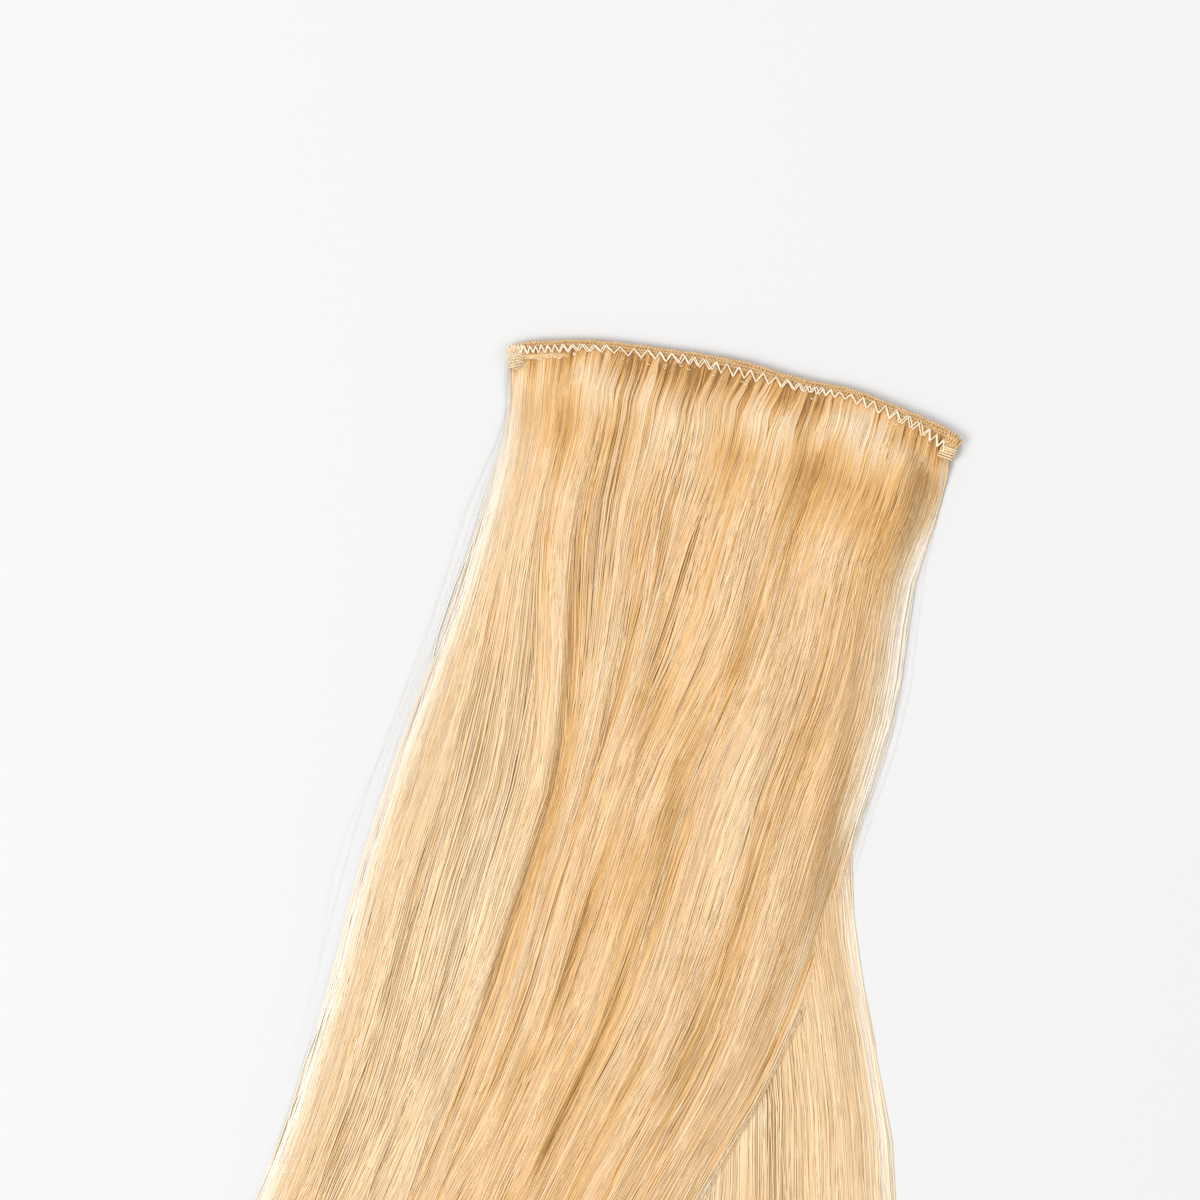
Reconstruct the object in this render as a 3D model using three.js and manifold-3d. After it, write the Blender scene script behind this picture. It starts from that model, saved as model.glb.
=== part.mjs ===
// Double hair weft lying flat: two sewn weft bands, bound at both ends, each with a layer of
// straight hair in locks. Millimetres, +Z up. The band's chord runs along X and the hair runs
// along -Y. The origin is the middle of the lower band's underside.
import * as THREE from "three";
import { mergeVertices } from "three/addons/utils/BufferGeometryUtils.js";
import Module from "manifold-3d";

const wasm = await Module();
wasm.setup();

// Driving dimensions
const BAND_LENGTH = 150; // along the arc, end wraps included
const BAND_RADIUS = 288; // the band lies in a shallow arc, its ends towards the hair
const HAIR_LENGTH = 400; // from the band to the longest tips
const GAP = 0.3; // clearance between neighbouring pieces
const JOIN_TOLERANCE = 0.06; // detail finer than this is dropped where locks fuse

// Band sections. "out" is the distance from the band's centre arc, away from the hair.
const UPPER_BAND = { outer: 2.6, inner: -2.6, bottom: 2.0, top: 3.8 };
const LOWER_BAND = { outer: 1.6, inner: -5.2, bottom: 0, top: 1.7 };
const CORD_COUNT = 3; // binding cords side by side on the upper band
const CORD_DIP = 0.5; // depth of the groove between two cords
const BAND_STATIONS = 24;

// End wraps: the weft's folded ends, oversewn with thread.
const LEFT_WRAP = { length: 5, outer: 2.5, inner: -6.2, top: 4.1, round: 0.8 };
const RIGHT_WRAP = { length: 6, outer: 3.0, inner: -7.0, top: 4.3, round: 0.9 };
const WRAP_STATIONS = 4;

// Sections down the hair. "run" is the distance from the band's centre arc along -Y, "left" and
// "right" are the layer's edges in X, "base" is the underside of its locks and "rise" their
// usual thickness there.
const UPPER_SECTIONS = [
  { run: 2.9, left: -66, right: 64.5, base: 2.0, rise: 1.8 },
  { run: 12, left: -69, right: 70, base: 3.0, rise: 3.6 },
  { run: 24, left: -68.5, right: 74, base: 3.8, rise: 5.2 },
  { run: 50, left: -66.5, right: 71, base: 3.9, rise: 4.8 },
  { run: 90, left: -69.5, right: 71, base: 3.9, rise: 4.6 },
  { run: 130, left: -75, right: 67.5, base: 3.9, rise: 4.6 },
  { run: 170, left: -80, right: 64, base: 3.9, rise: 4.8 },
  { run: 210, left: -83.5, right: 56, base: 3.9, rise: 4.8 },
  { run: 250, left: -88.5, right: 43, base: 3.8, rise: 4.6 },
  { run: 310, left: -98, right: 27, base: 3.2, rise: 4.0 },
  { run: 400, left: -107, right: 12, base: 1.6, rise: 2.6 },
];
const LOWER_SECTIONS = [
  { run: 5.5, left: -65, right: 64, base: 0, rise: 1.7 },
  { run: 24, left: -66, right: 70, base: 0, rise: 3.2 },
  { run: 60, left: -64, right: 68, base: 0, rise: 3.4 },
  { run: 110, left: -70, right: 67, base: 0, rise: 3.4 },
  { run: 150, left: -75, right: 70, base: 0, rise: 3.4 },
  { run: 190, left: -79, right: 82.5, base: 0, rise: 3.4 },
  { run: 230, left: -83, right: 97, base: 0, rise: 3.3 },
  { run: 280, left: -90, right: 110, base: 0, rise: 3.0 },
  { run: 330, left: -97, right: 116, base: 0, rise: 2.6 },
  { run: 400, left: -101, right: 118, base: 0, rise: 1.3 },
];

// Locks of each layer, left to right. "root" and "tip" place the lock's middle as a share of the
// layer's width, "wide" is its share of that width, "full" scales its thickness and "reach" is
// its length as a share of HAIR_LENGTH. Wider steps between neighbours leave the main valleys.
const UPPER_LOCKS = [
  { root: 0.035, tip: 0.04, wide: 0.085, full: 0.8, reach: 0.95 },
  { root: 0.095, tip: 0.105, wide: 0.085, full: 0.95, reach: 0.98 },
  { root: 0.165, tip: 0.19, wide: 0.08, full: 1.0, reach: 0.96 },
  { root: 0.22, tip: 0.28, wide: 0.085, full: 1.0, reach: 1.0 },
  { root: 0.295, tip: 0.37, wide: 0.085, full: 1.1, reach: 0.97 },
  { root: 0.365, tip: 0.41, wide: 0.085, full: 1.05, reach: 0.99 },
  { root: 0.435, tip: 0.45, wide: 0.085, full: 0.95, reach: 0.96 },
  { root: 0.52, tip: 0.505, wide: 0.08, full: 1.1, reach: 0.98 },
  { root: 0.575, tip: 0.56, wide: 0.075, full: 0.95, reach: 1.0 },
  { root: 0.64, tip: 0.625, wide: 0.085, full: 1.0, reach: 0.96 },
  { root: 0.705, tip: 0.695, wide: 0.085, full: 1.1, reach: 0.99 },
  { root: 0.77, tip: 0.765, wide: 0.08, full: 0.95, reach: 0.97 },
  { root: 0.84, tip: 0.845, wide: 0.08, full: 1.0, reach: 0.98 },
  { root: 0.9, tip: 0.915, wide: 0.08, full: 0.9, reach: 0.95 },
  { root: 0.965, tip: 0.975, wide: 0.06, full: 0.75, reach: 0.93 },
];
const LOWER_LOCKS = [
  { root: 0.06, tip: 0.05, wide: 0.13, full: 0.9, reach: 0.93 },
  { root: 0.18, tip: 0.14, wide: 0.14, full: 1.0, reach: 0.96 },
  { root: 0.31, tip: 0.24, wide: 0.145, full: 1.0, reach: 0.94 },
  { root: 0.44, tip: 0.34, wide: 0.145, full: 1.0, reach: 0.97 },
  { root: 0.57, tip: 0.44, wide: 0.145, full: 1.0, reach: 0.95 },
  { root: 0.7, tip: 0.55, wide: 0.15, full: 1.0, reach: 0.97 },
  { root: 0.82, tip: 0.66, wide: 0.15, full: 0.95, reach: 0.94 },
  { root: 0.9, tip: 0.85, wide: 0.11, full: 1.0, reach: 0.96 },
  { root: 0.95, tip: 0.94, wide: 0.11, full: 0.95, reach: 0.93 },
];
const FAN_START = 60; // run where a lock starts to move from its root share to its tip share
const FAN_END = 300;
const LOCK_OVERLAP = 1.25; // a lock's width over its share, so that neighbours fuse
const TAPER_START = 0.8; // share of a lock's length where its tip starts to narrow
const TIP_SIZE = 0.35; // a tip's width and thickness over the full lock's
const LOCK_STATIONS = [0, 0.03, 0.06, 0.11, 0.18, 0.26, 0.34, 0.42, 0.5, 0.58, 0.66, 0.74, 0.82, 0.89, 0.95, 1];
const ROUND_SIDES = 10; // upper locks are oval
const ARCH_SIDES = 7; // lower locks are arched, flat where they lie
const ROOT_STRIP_DEPTH = 7; // the hair's sewn root strip, which the locks are fused to
const ROOT_STRIP_SHRINK = 0.15; // the strip lies this far inside the locks' thickness

// Materials
const HAIR_BLONDE = new THREE.MeshStandardMaterial({ color: 0xe3bd84, roughness: 0.45, metalness: 0 });
const HAIR_SHADE = new THREE.MeshStandardMaterial({ color: 0xdab277, roughness: 0.5, metalness: 0 });
const CORD_TAN = new THREE.MeshStandardMaterial({ color: 0xcfa566, roughness: 0.75, metalness: 0 });
const CORD_BEIGE = new THREE.MeshStandardMaterial({ color: 0xd9b988, roughness: 0.8, metalness: 0 });

// Point on the band: "along" the centre arc from its middle, "out" from the arc, at height z.
function onBand(along, out, z) {
  const turn = along / BAND_RADIUS;
  const reach = BAND_RADIUS + out;
  return new THREE.Vector3(reach * Math.sin(turn), reach * Math.cos(turn) - BAND_RADIUS, z);
}

// Height of the centre arc in Y at a place x across the band.
function arcY(x) {
  return Math.sqrt(BAND_RADIUS ** 2 - x ** 2) - BAND_RADIUS;
}

function smooth(from, to, value) {
  const t = THREE.MathUtils.clamp((value - from) / (to - from), 0, 1);
  return t * t * (3 - 2 * t);
}

// One column of a table at a distance down the hair, on a smooth curve through the rows.
function sample(rows, column, run) {
  let i = rows.findIndex((row) => row.run > run);
  i = THREE.MathUtils.clamp(i < 0 ? rows.length - 1 : i, 1, rows.length - 1);
  const [before, low, high, after] = [i - 2, i - 1, i, i + 1].map(
    (k) => rows[THREE.MathUtils.clamp(k, 0, rows.length - 1)],
  );
  const span = high.run - low.run;
  const slope = (a, b) => (b.run === a.run ? 0 : (b[column] - a[column]) / (b.run - a.run));
  const t = THREE.MathUtils.clamp((run - low.run) / span, 0, 1);
  const startSlope = slope(before, high) * span;
  const endSlope = slope(low, after) * span;
  return (
    (2 * t ** 3 - 3 * t ** 2 + 1) * low[column] +
    (t ** 3 - 2 * t ** 2 + t) * startSlope +
    (3 * t ** 2 - 2 * t ** 3) * high[column] +
    (t ** 3 - t ** 2) * endSlope
  );
}

// Closed solid through rings of points that run the same way round, with a fan over each end.
function loft(rings) {
  const count = rings[0].length;
  const last = (rings.length - 1) * count;
  const faces = [];
  for (let start = 0; start < last; start += count) {
    for (let k = 0; k < count; k++) {
      const a = start + k;
      const b = start + ((k + 1) % count);
      faces.push(a, b, b + count, a, b + count, a + count);
    }
  }
  for (let k = 1; k < count - 1; k++) {
    faces.push(0, k + 1, k, last, last + k, last + k + 1);
  }
  const geometry = new THREE.BufferGeometry().setFromPoints(rings.flat());
  geometry.setIndex(faces);
  return geometry;
}

// Joins closed geometries into one and drops the slivers along the joins.
function fuse(geometries) {
  const solids = geometries.map((geometry) => {
    const merged = mergeVertices(geometry);
    const vertProperties = merged.getAttribute("position").array;
    const triVerts = new Uint32Array(merged.index.array);
    return new wasm.Manifold(new wasm.Mesh({ numProp: 3, vertProperties, triVerts }));
  });
  const whole = solids.reduce((sum, solid) => sum.add(solid));
  const joined = whole.asOriginal().simplify(JOIN_TOLERANCE).getMesh();
  const geometry = new THREE.BufferGeometry();
  geometry.setAttribute("position", new THREE.BufferAttribute(joined.vertProperties, 3));
  geometry.setIndex(new THREE.BufferAttribute(joined.triVerts, 1));
  return geometry;
}

// Strip along the band between two places, from a section given as [out, z] points.
function strip(section, from, to, stations) {
  const rings = [];
  for (let s = 0; s <= stations; s++) {
    const along = THREE.MathUtils.lerp(from, to, s / stations);
    rings.push(section.map(([out, z]) => onBand(along, out, z)));
  }
  return loft(rings);
}

// Section of the upper band: flat below, one round cord beside the next on top.
function cordSection(band) {
  const cordWidth = (band.outer - band.inner) / CORD_COUNT;
  const section = [[band.inner, band.bottom], [band.outer, band.bottom]];
  for (let cord = 0; cord < CORD_COUNT; cord++) {
    const edge = band.outer - cord * cordWidth;
    section.push([edge, band.top - CORD_DIP]);
    section.push([edge - cordWidth * 0.25, band.top - CORD_DIP * 0.2]);
    section.push([edge - cordWidth * 0.5, band.top]);
    section.push([edge - cordWidth * 0.75, band.top - CORD_DIP * 0.2]);
  }
  section.push([band.inner, band.top - CORD_DIP]);
  return section;
}

// Section of a flat strip with its upper corners eased.
function tapeSection(band) {
  const ease = (band.top - band.bottom) * 0.35;
  return [
    [band.inner, band.bottom],
    [band.outer, band.bottom],
    [band.outer, band.top - ease],
    [band.outer - ease, band.top],
    [band.inner + ease, band.top],
    [band.inner, band.top - ease],
  ];
}

// End wrap: a block over the ends of both bands, with a rounded far end. Side is -1 left, 1 right.
function endWrap(wrap, side) {
  const rings = [];
  for (let s = 0; s <= WRAP_STATIONS; s++) {
    const share = s / WRAP_STATIONS;
    const along = side * (BAND_LENGTH / 2 - wrap.length * (1 - share));
    const inset = wrap.round * share ** 3;
    const shape = { outer: wrap.outer - inset, inner: wrap.inner + inset, bottom: 0, top: wrap.top - inset };
    rings.push(tapeSection(shape).map(([out, z]) => onBand(along, out, z)));
  }
  return loft(side > 0 ? rings : rings.reverse());
}

// Ring of a lock lying flat: an oval, or an arch with its flat side down. It follows the band's arc.
function lockRing(place, halfWidth, thick, arched) {
  const ring = [];
  const sides = arched ? ARCH_SIDES : ROUND_SIDES;
  for (let k = 0; k < sides; k++) {
    const turn = arched ? (Math.PI * k) / (sides - 1) : (2 * Math.PI * k) / sides;
    const across = Math.cos(turn) * halfWidth;
    const up = arched ? Math.sin(turn) * thick : ((1 + Math.sin(turn)) / 2) * thick;
    ring.push(new THREE.Vector3(place.x + across, arcY(place.rootX + across) - place.run, place.base + up));
  }
  return ring;
}

// One lock from the band to its tip.
function lock(row, sections, arched) {
  const rootRun = sections[0].run;
  const end = row.reach * HAIR_LENGTH;
  const rootX = THREE.MathUtils.lerp(sections[0].left, sections[0].right, row.root);
  const rings = LOCK_STATIONS.map((station) => {
    const run = THREE.MathUtils.lerp(rootRun, end, station);
    const left = sample(sections, "left", run);
    const right = sample(sections, "right", run);
    const share = THREE.MathUtils.lerp(row.root, row.tip, smooth(FAN_START, FAN_END, run));
    const taper = THREE.MathUtils.lerp(1, TIP_SIZE, smooth(TAPER_START, 1, station));
    const halfWidth = (row.wide * (right - left) * LOCK_OVERLAP * taper) / 2;
    const full = THREE.MathUtils.lerp(1, row.full, smooth(0, FAN_START, run));
    const thick = sample(sections, "rise", run) * full * taper;
    const centre = THREE.MathUtils.lerp(left, right, share);
    const x = THREE.MathUtils.clamp(centre, left + halfWidth, right - halfWidth);
    const place = { x, rootX, run, base: sample(sections, "base", run) };
    return lockRing(place, halfWidth, thick, arched);
  });
  return loft(rings);
}

// Layer of hair: its locks fused to the root strip.
function hairLayer(rows, sections, arched) {
  const { run, left, right, base, rise } = sections[0];
  const rootStrip = {
    outer: -run,
    inner: -run - ROOT_STRIP_DEPTH,
    bottom: arched ? base : base + ROOT_STRIP_SHRINK,
    top: base + rise - ROOT_STRIP_SHRINK,
  };
  const locks = rows.map((row) => lock(row, sections, arched));
  return fuse([strip(tapeSection(rootStrip), left, right, BAND_STATIONS), ...locks]);
}

function piece(name, geometry, material) {
  const mesh = new THREE.Mesh(geometry, material);
  mesh.name = name;
  return mesh;
}

const bandLeft = -BAND_LENGTH / 2 + LEFT_WRAP.length + GAP;
const bandRight = BAND_LENGTH / 2 - RIGHT_WRAP.length - GAP;

const weft = new THREE.Group();
weft.add(
  piece("upper_weft_band", strip(cordSection(UPPER_BAND), bandLeft, bandRight, BAND_STATIONS), CORD_TAN),
  piece("lower_weft_band", strip(tapeSection(LOWER_BAND), bandLeft, bandRight, BAND_STATIONS), CORD_BEIGE),
  piece("left_end_wrap", endWrap(LEFT_WRAP, -1), CORD_TAN),
  piece("right_end_wrap", endWrap(RIGHT_WRAP, 1), CORD_TAN),
  piece("upper_hair_layer", hairLayer(UPPER_LOCKS, UPPER_SECTIONS, false), HAIR_BLONDE),
  piece("lower_hair_layer", hairLayer(LOWER_LOCKS, LOWER_SECTIONS, true), HAIR_SHADE),
);

export default weft;
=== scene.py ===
"""Blonde double hair weft lying flat on a pale table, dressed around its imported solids.

Sizes are millimetres until a mesh is made. X runs along the band's chord, the hair runs along -Y
and Z is up from the table.
"""

import math
from types import SimpleNamespace

import bpy
import numpy as np
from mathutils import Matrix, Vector


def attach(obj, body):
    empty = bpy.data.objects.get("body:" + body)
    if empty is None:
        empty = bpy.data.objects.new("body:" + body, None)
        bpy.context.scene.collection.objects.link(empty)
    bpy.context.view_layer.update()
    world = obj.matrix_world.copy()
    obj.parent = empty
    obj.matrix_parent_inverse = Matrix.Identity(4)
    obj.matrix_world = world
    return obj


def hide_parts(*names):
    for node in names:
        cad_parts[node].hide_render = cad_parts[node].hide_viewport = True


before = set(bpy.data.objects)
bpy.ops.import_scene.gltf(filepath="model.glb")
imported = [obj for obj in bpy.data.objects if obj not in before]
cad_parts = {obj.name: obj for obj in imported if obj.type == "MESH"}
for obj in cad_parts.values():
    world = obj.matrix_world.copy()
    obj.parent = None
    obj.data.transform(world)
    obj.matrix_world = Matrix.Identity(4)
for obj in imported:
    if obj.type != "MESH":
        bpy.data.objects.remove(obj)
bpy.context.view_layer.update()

MM = 0.001
rng = np.random.default_rng(4409)

# The photograph looks straight down: how far it is turned, where its middle lies and its width
PICTURE_TURN = math.radians(11.9)
PICTURE_CENTRE = np.array([-27.6, -81.3])
PICTURE_WIDTH = 385.2
CAMERA_HEIGHT = 1300.0
SENSOR_WIDTH = 36.0

# Soft lamps: place to the right in the picture, to its top and up from the table, and width, all in
# metres, and power in watts
LAMPS = {
    "key_left": ((-1.7, -0.6, 2.1), 1.4, 53.0),
    "key_top": ((0.1, 1.7, 1.9), 0.8, 16.5),
    "fill_right": ((1.6, -0.5, 2.0), 1.4, 16.5),
}
ROOM_LIGHT = 0.58
TABLE_HALF_WIDTH = 3.0  # metres

# The band and its hair, as in the solids
BAND_RADIUS = 288.0
HAIR_LENGTH = 400.0
LEFT_WRAP = {"length": 5.0, "end": -73.6, "outer": 2.5, "inner": -5.4, "top": 4.1}
RIGHT_WRAP = {"length": 5.6, "end": 75.6, "outer": 2.6, "inner": -6.6, "top": 4.3}
BAND_FROM = LEFT_WRAP["end"] + LEFT_WRAP["length"]
BAND_TO = RIGHT_WRAP["end"] - RIGHT_WRAP["length"]

# Soft bends of the sewn band off its even arc, and its zigzag seam: where the middle of the teeth
# lies across the band, half their height and their pitch
BAND = {
    "along": [-75, -60, -45, -30, -15, 0, 15, 25, 35, 45, 60, 75],
    "bend": [0.0, 0.5, 0.9, 0.3, 0.2, 0.4, -0.3, -0.2, 1.2, 1.3, 1.3, 1.3],
    "seam": [0.2, -0.2, 0.1, -0.1, -0.2, -1.2, -0.6, -0.2, -0.4, -0.3, -0.9, -4.0],
    "swing": [1.2, 1.2, 1.1, 1.35, 1.4, 1.75, 1.4, 1.1, 1.1, 1.6, 1.7, 1.3],
    "pitch": [2.0, 2.1, 4.3, 4.0, 3.4, 4.0, 4.0, 2.4, 4.0, 3.8, 3.6, 1.8],
}
FOLD_TO = -50.0  # the left end is folded back under the seam as far as this

# How hair leaves the seam, by place along the band: how far it is drawn together in tufts, how much
# painted shade darkens its roots, how far they lean to the right and where it reaches its full height
ROOTS = {
    "x": [-70, -56, -48, -40, -30, -20, -12, 0, 10, 20, 28, 36, 50, 62, 70],
    "pull": [0.05, 0.1, 0.1, 0.15, 0.28, 0.18, 0.25, 0.28, 0.25, 0.2, 0.25, 0.1, 0.15, 0.15, 0.1],
    "shade": [0.0, 0.35, 0.2, 0.25, 0.32, 0.3, 0.32, 0.34, 0.32, 0.34, 0.36, 0.2, 0.2, 0.3, 0.35],
    "lean": [1.0, 2.0, 2.5, 4.0, 4.5, 4.5, 5.0, 5.5, 5.0, 4.5, 4.0, 3.5, 4.0, 3.0, 0.0],
    "crest": [16, 20, 11, 15, 19, 18, 23, 20, 18, 17, 24, 11, 12, 16, 19],
}
TUFT_SPACING = 3.1
TUFT_COUNT = 70  # more than the band holds, counted from well outside its left end
TUFTS_FROM = -90.0

# Sections down the hair: distance from the band, left and right edge, underside and thickness. The
# lower layer lies on the table. Loose hair starts inside the end wraps, so it is wider at the root
# than the solids.
UPPER_SECTIONS = {
    "run": [2.9, 12, 24, 50, 90, 130, 170, 210, 250, 310, 400],
    "left": [-72.5, -70.5, -68.5, -68.5, -72.5, -78.5, -83, -85, -88.5, -98, -107],
    "right": [71.5, 73, 72.5, 68, 70, 66.5, 63, 56, 43, 27, 12],
    "base": [2.0, 3.0, 3.8, 3.9, 3.9, 3.9, 3.9, 3.9, 3.8, 3.2, 1.6],
    "rise": [1.8, 5.2, 5.4, 4.2, 4.3, 4.6, 4.9, 4.9, 4.7, 4.0, 2.6],
}
LOWER_SECTIONS = {
    "run": [5.5, 24, 60, 110, 150, 190, 230, 280, 330, 400],
    "left": [-65, -66, -64, -70, -75, -79, -83, -90, -97, -101],
    "right": [62, 66, 62, 62, 67, 82.5, 97, 110, 116, 118],
    "rise": [1.7, 3.2, 3.4, 3.4, 3.4, 3.4, 3.3, 3.0, 2.6, 1.3],
}

# Length of the locks, left to right, as shares of the hair's length, the share of it where they
# start to narrow, and how wide their tips are over the whole lock
UPPER_LOCKS = [0.95, 0.98, 0.96, 1.0, 0.97, 0.99, 0.96, 0.98, 1.0, 0.96, 0.99, 0.97, 0.98, 0.95, 0.93]
LOWER_LOCKS = [0.93, 0.96, 0.94, 0.97, 0.95, 0.97, 0.94, 0.96, 0.93]
TAPER_START = 0.8
TIP_SIZE = 0.35

# How the upper layer's hair drifts together on its way down: shares of the layer's width at the
# root and below the drift
FLOW = {
    "root": [0, 0.1, 0.17, 0.33, 0.47, 0.61, 0.74, 0.88, 1],
    "below": [0, 0.2, 0.335, 0.4, 0.45, 0.54, 0.68, 0.85, 1],
}
DRIFT_START = 40.0
DRIFT_END = 150.0

# Main valleys of the upper layer: share of its width at the root, depth as a share of its
# thickness, reach of the left and the right slope, where down the hair it is deepest and how long
VALLEYS = {
    "root": [0.06, 0.13, 0.212, 0.55, 0.55, 0.69, 0.78, 0.86],
    "depth": [0.12, 0.22, 0.58, 0.2, 0.32, 0.26, 0.22, 0.15],
    "left": [1.5, 2.5, 2.6, 2.0, 1.6, 1.6, 1.6, 2.0],
    "right": [4.0, 5.0, 4.0, 5.0, 4.0, 4.0, 4.0, 5.0],
    "deepest": [150, 78, 145, 115, 185, 235, 235, 175],
    "length": [60, 30, 85, 22, 50, 45, 40, 45],
}

# Swells and dips of the upper layer: place across and down, half width, half length, and height.
# Their height also sets painted highlight on the swells and painted shade in the dips.
SWELLS = [
    (-48, 7, 3, 4, 1.0),
    (-39, 12, 7, 6, 0.65),
    (-59, 14, 6, 10, -0.45),
    (-51, 24, 5, 10, -0.6),
    (-47, 33, 5, 10, -0.5),
    (-33, 29, 5, 6, -0.3),
    (-16, 24, 6, 16, 0.6),
    (-11, 10, 3, 5, -0.4),
    (6, 30, 7, 9, -0.7),
    (10, 14, 3, 5, 0.4),
    (18, 14, 3, 7, 0.6),
    (16, 30, 4, 8, 0.2),
    (32, 28, 9, 11, -0.8),
    (42, 8, 9, 6, 1.0),
    (61, 11, 6, 4, 0.4),
    (48, 31, 7, 9, -0.7),
    (58, 28, 6, 12, -0.35),
    (-64, 60, 7, 40, 0.4),
    (-48, 60, 6, 18, -0.4),
    (-32, 55, 4, 12, 0.3),
    (58, 45, 3, 14, -0.5),
    (42, 50, 5, 10, 0.3),
    (-18, 90, 8, 36, 0.5),
    (5, 60, 6, 14, -0.4),
    (17, 60, 6, 16, 0.3),
    (20, 92, 8, 14, -0.3),
    (34, 80, 6, 22, 0.25),
    (-40, 92, 5, 16, -0.2),
    (-6, 108, 4, 12, -0.2),
    (52, 118, 6, 20, -0.3),
    (-64, 130, 6, 25, 0.3),
    (-47, 175, 9, 40, 0.7),
    (1, 135, 5, 15, 0.45),
    (28, 132, 7, 26, 0.5),
    (-1, 168, 5, 16, -0.55),
    (26, 170, 6, 20, 0.35),
    (-68, 205, 9, 60, 0.6),
    (-24, 200, 5, 18, 0.4),
    (-8, 200, 5, 15, 0.2),
    (8, 200, 5, 15, -0.2),
    (17, 198, 5, 20, 0.35),
    (-25, 232, 5, 15, -0.25),
]
SWELL_HEIGHT = 0.7

# The surface of the upper layer: height at the seam and above the lower layer's edges, how far
# its edges thin out, and soft waves, with the range of their widths across and lengths down
ROOT_HEIGHT = 3.4
LAYER_GAP = 0.3
EDGE_REACH = 19.0
NARROW_WAVES = {"count": 10, "width": (12, 34), "length": (110, 280), "height": 0.22}
BROAD_WAVES = {"count": 5, "width": (45, 110), "length": (90, 170), "height": 0.4}

# Strands. A real hair is 0.07 mm thick, too fine to show, so each strand stands for a few hairs:
# most are thick and lie side by side, and some thin ones lie over them.
THICK_RADIUS = (0.2, 0.34)
THIN_RADIUS = (0.09, 0.14)
THIN_SHARE = 0.35
DARK_SHARE = 0.12
UPPER_STRANDS = 2500
LOWER_STRANDS = 1700
STRANDS_PER_WISP = 20
WISPS_PER_LOCKLET = 5
WISP_SPREAD = 0.6
EDGE_STRANDS = 0.1  # this share of the strands lies along the edges
PAST_EDGE = 3.0  # and some of these reach this far past them
FLATNESS = 0.3  # height of a strand as a share of its width
TIP_STATIONS = np.linspace(0, 1, 4)[1:]  # the last few places down a strand, to its tip
TABLE_GAP = 0.15  # no strand's middle is lower
# Painted shade of a strand, by its corner
SIDE_SHADE = np.array([0.0, 1.0, 1.6, 1.0])  # for the top, side, underside and side of a strand
STRAY_COUNT = 40
STRAY_RADIUS = 0.035

# Packed hair under the strands
BODY_DEPTH = 0.48  # it starts this far below the outer strands
BODY_INSET = 0.7
THIN_EDGE = 2.3  # further down it thins out to this far past the edges
BODY_LENGTH = 318.0  # below this there are only the strands' thinning tips
BODY_WIDTH = 145.0  # its usual width, for its pattern of fine lines
BODY_LIFT = 0.02  # the lower layer's underside is just clear of the table
THIN_TOP = 0.12  # its top is nowhere lower
THIN_BODY = 0.1  # and it is nowhere thinner
EDGE_COLUMNS = 24  # this close to its edges the underside has each of the top's columns
UNDERSIDE_STEP = 6  # and elsewhere every sixth

# Threads
PLY_RADIUS = 0.26
CORD_PITCH = 2.0
UPPER_CORDS = {"rows": [2.1, 1.15, 0.2], "height": 3.3}  # rows across the band, from outside
LOWER_CORDS = {"rows": [-4.4], "height": 1.3}
UPPER_TRACK = {"outer": 2.3, "inner": -2.6, "bottom": 2.0, "top": 3.3}
LOWER_TRACK = {"outer": 1.6, "inner": -5.0, "bottom": 0.0, "top": 1.7}
SEAM_RADIUS = 0.17
SEAM_HEIGHT = 3.98
STITCH_RADIUS = 0.14
LOOP_RADIUS = 0.13
FOLD_LOOP_COUNT = 90
FOLD_LOOP_RADIUS = 0.12
WRAP_INSET = 0.6  # the core of a wrapped end lies this far inside it
TURN_RADIUS = 0.28  # thread 0.25 mm thick would be too fine to show, so it is drawn twice as thick
ROW_RADIUS = 0.27
TURN_LOW = 0.3  # no turn's middle is lower, so that the thread stays above the table
ROW_SPACING = 0.8  # of the pale rows over the turns

# A skin's cell on the map: its sides take this much of the cell, and its caps lie at their right
SIDES_WIDE = 0.86
SIDES_TALL = 0.94
CAPS_MIDDLE = 0.92


def draw_waves(kind):
    """Soft waves in the hair's surface, each with its width, length, phase and height."""
    count = kind["count"]
    width = rng.uniform(*kind["width"], count) * rng.choice([-1, 1], count)
    phase = rng.uniform(0, 2 * math.pi, count)
    return list(zip(width, rng.uniform(*kind["length"], count), phase, [kind["height"]] * count))


WAVES = draw_waves(NARROW_WAVES) + draw_waves(BROAD_WAVES)


def smooth(low, high, value):
    """0 up to low and 1 from high on, with a soft rise between, or the other way round."""
    t = np.clip((value - low) / (high - low), 0, 1)
    return t * t * (3 - 2 * t)


def curve(table, name, place):
    """One column of a table, on a smooth curve through its rows, by the table's first column."""
    places = np.array(next(iter(table.values())), float)
    values = np.array(table[name], float)
    after = np.minimum(np.arange(len(places)) + 1, len(places) - 1)
    before = np.maximum(np.arange(len(places)) - 1, 0)
    slopes = (values[after] - values[before]) / (places[after] - places[before])
    i = np.clip(np.searchsorted(places, place, side="right") - 1, 0, len(places) - 2)
    span = places[i + 1] - places[i]
    t = np.clip((place - places[i]) / span, 0, 1)
    return (
        (2 * t**3 - 3 * t**2 + 1) * values[i]
        + (t**3 - 2 * t**2 + t) * slopes[i] * span
        + (3 * t**2 - 2 * t**3) * values[i + 1]
        + (t**3 - t**2) * slopes[i + 1] * span
    )


def arc_y(x):
    """Where the middle of the band lies along Y."""
    return np.sqrt(BAND_RADIUS**2 - x**2) - BAND_RADIUS + curve(BAND, "bend", x)


def on_band(along, out, z):
    """Points at a place along the band's centre arc, at a distance out from it, at a height."""
    along, out, z = np.broadcast_arrays(along, out, z)
    turn = along / BAND_RADIUS
    reach = BAND_RADIUS + out + curve(BAND, "bend", along)
    return np.stack([reach * np.sin(turn), reach * np.cos(turn) - BAND_RADIUS, z], axis=-1)


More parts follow.
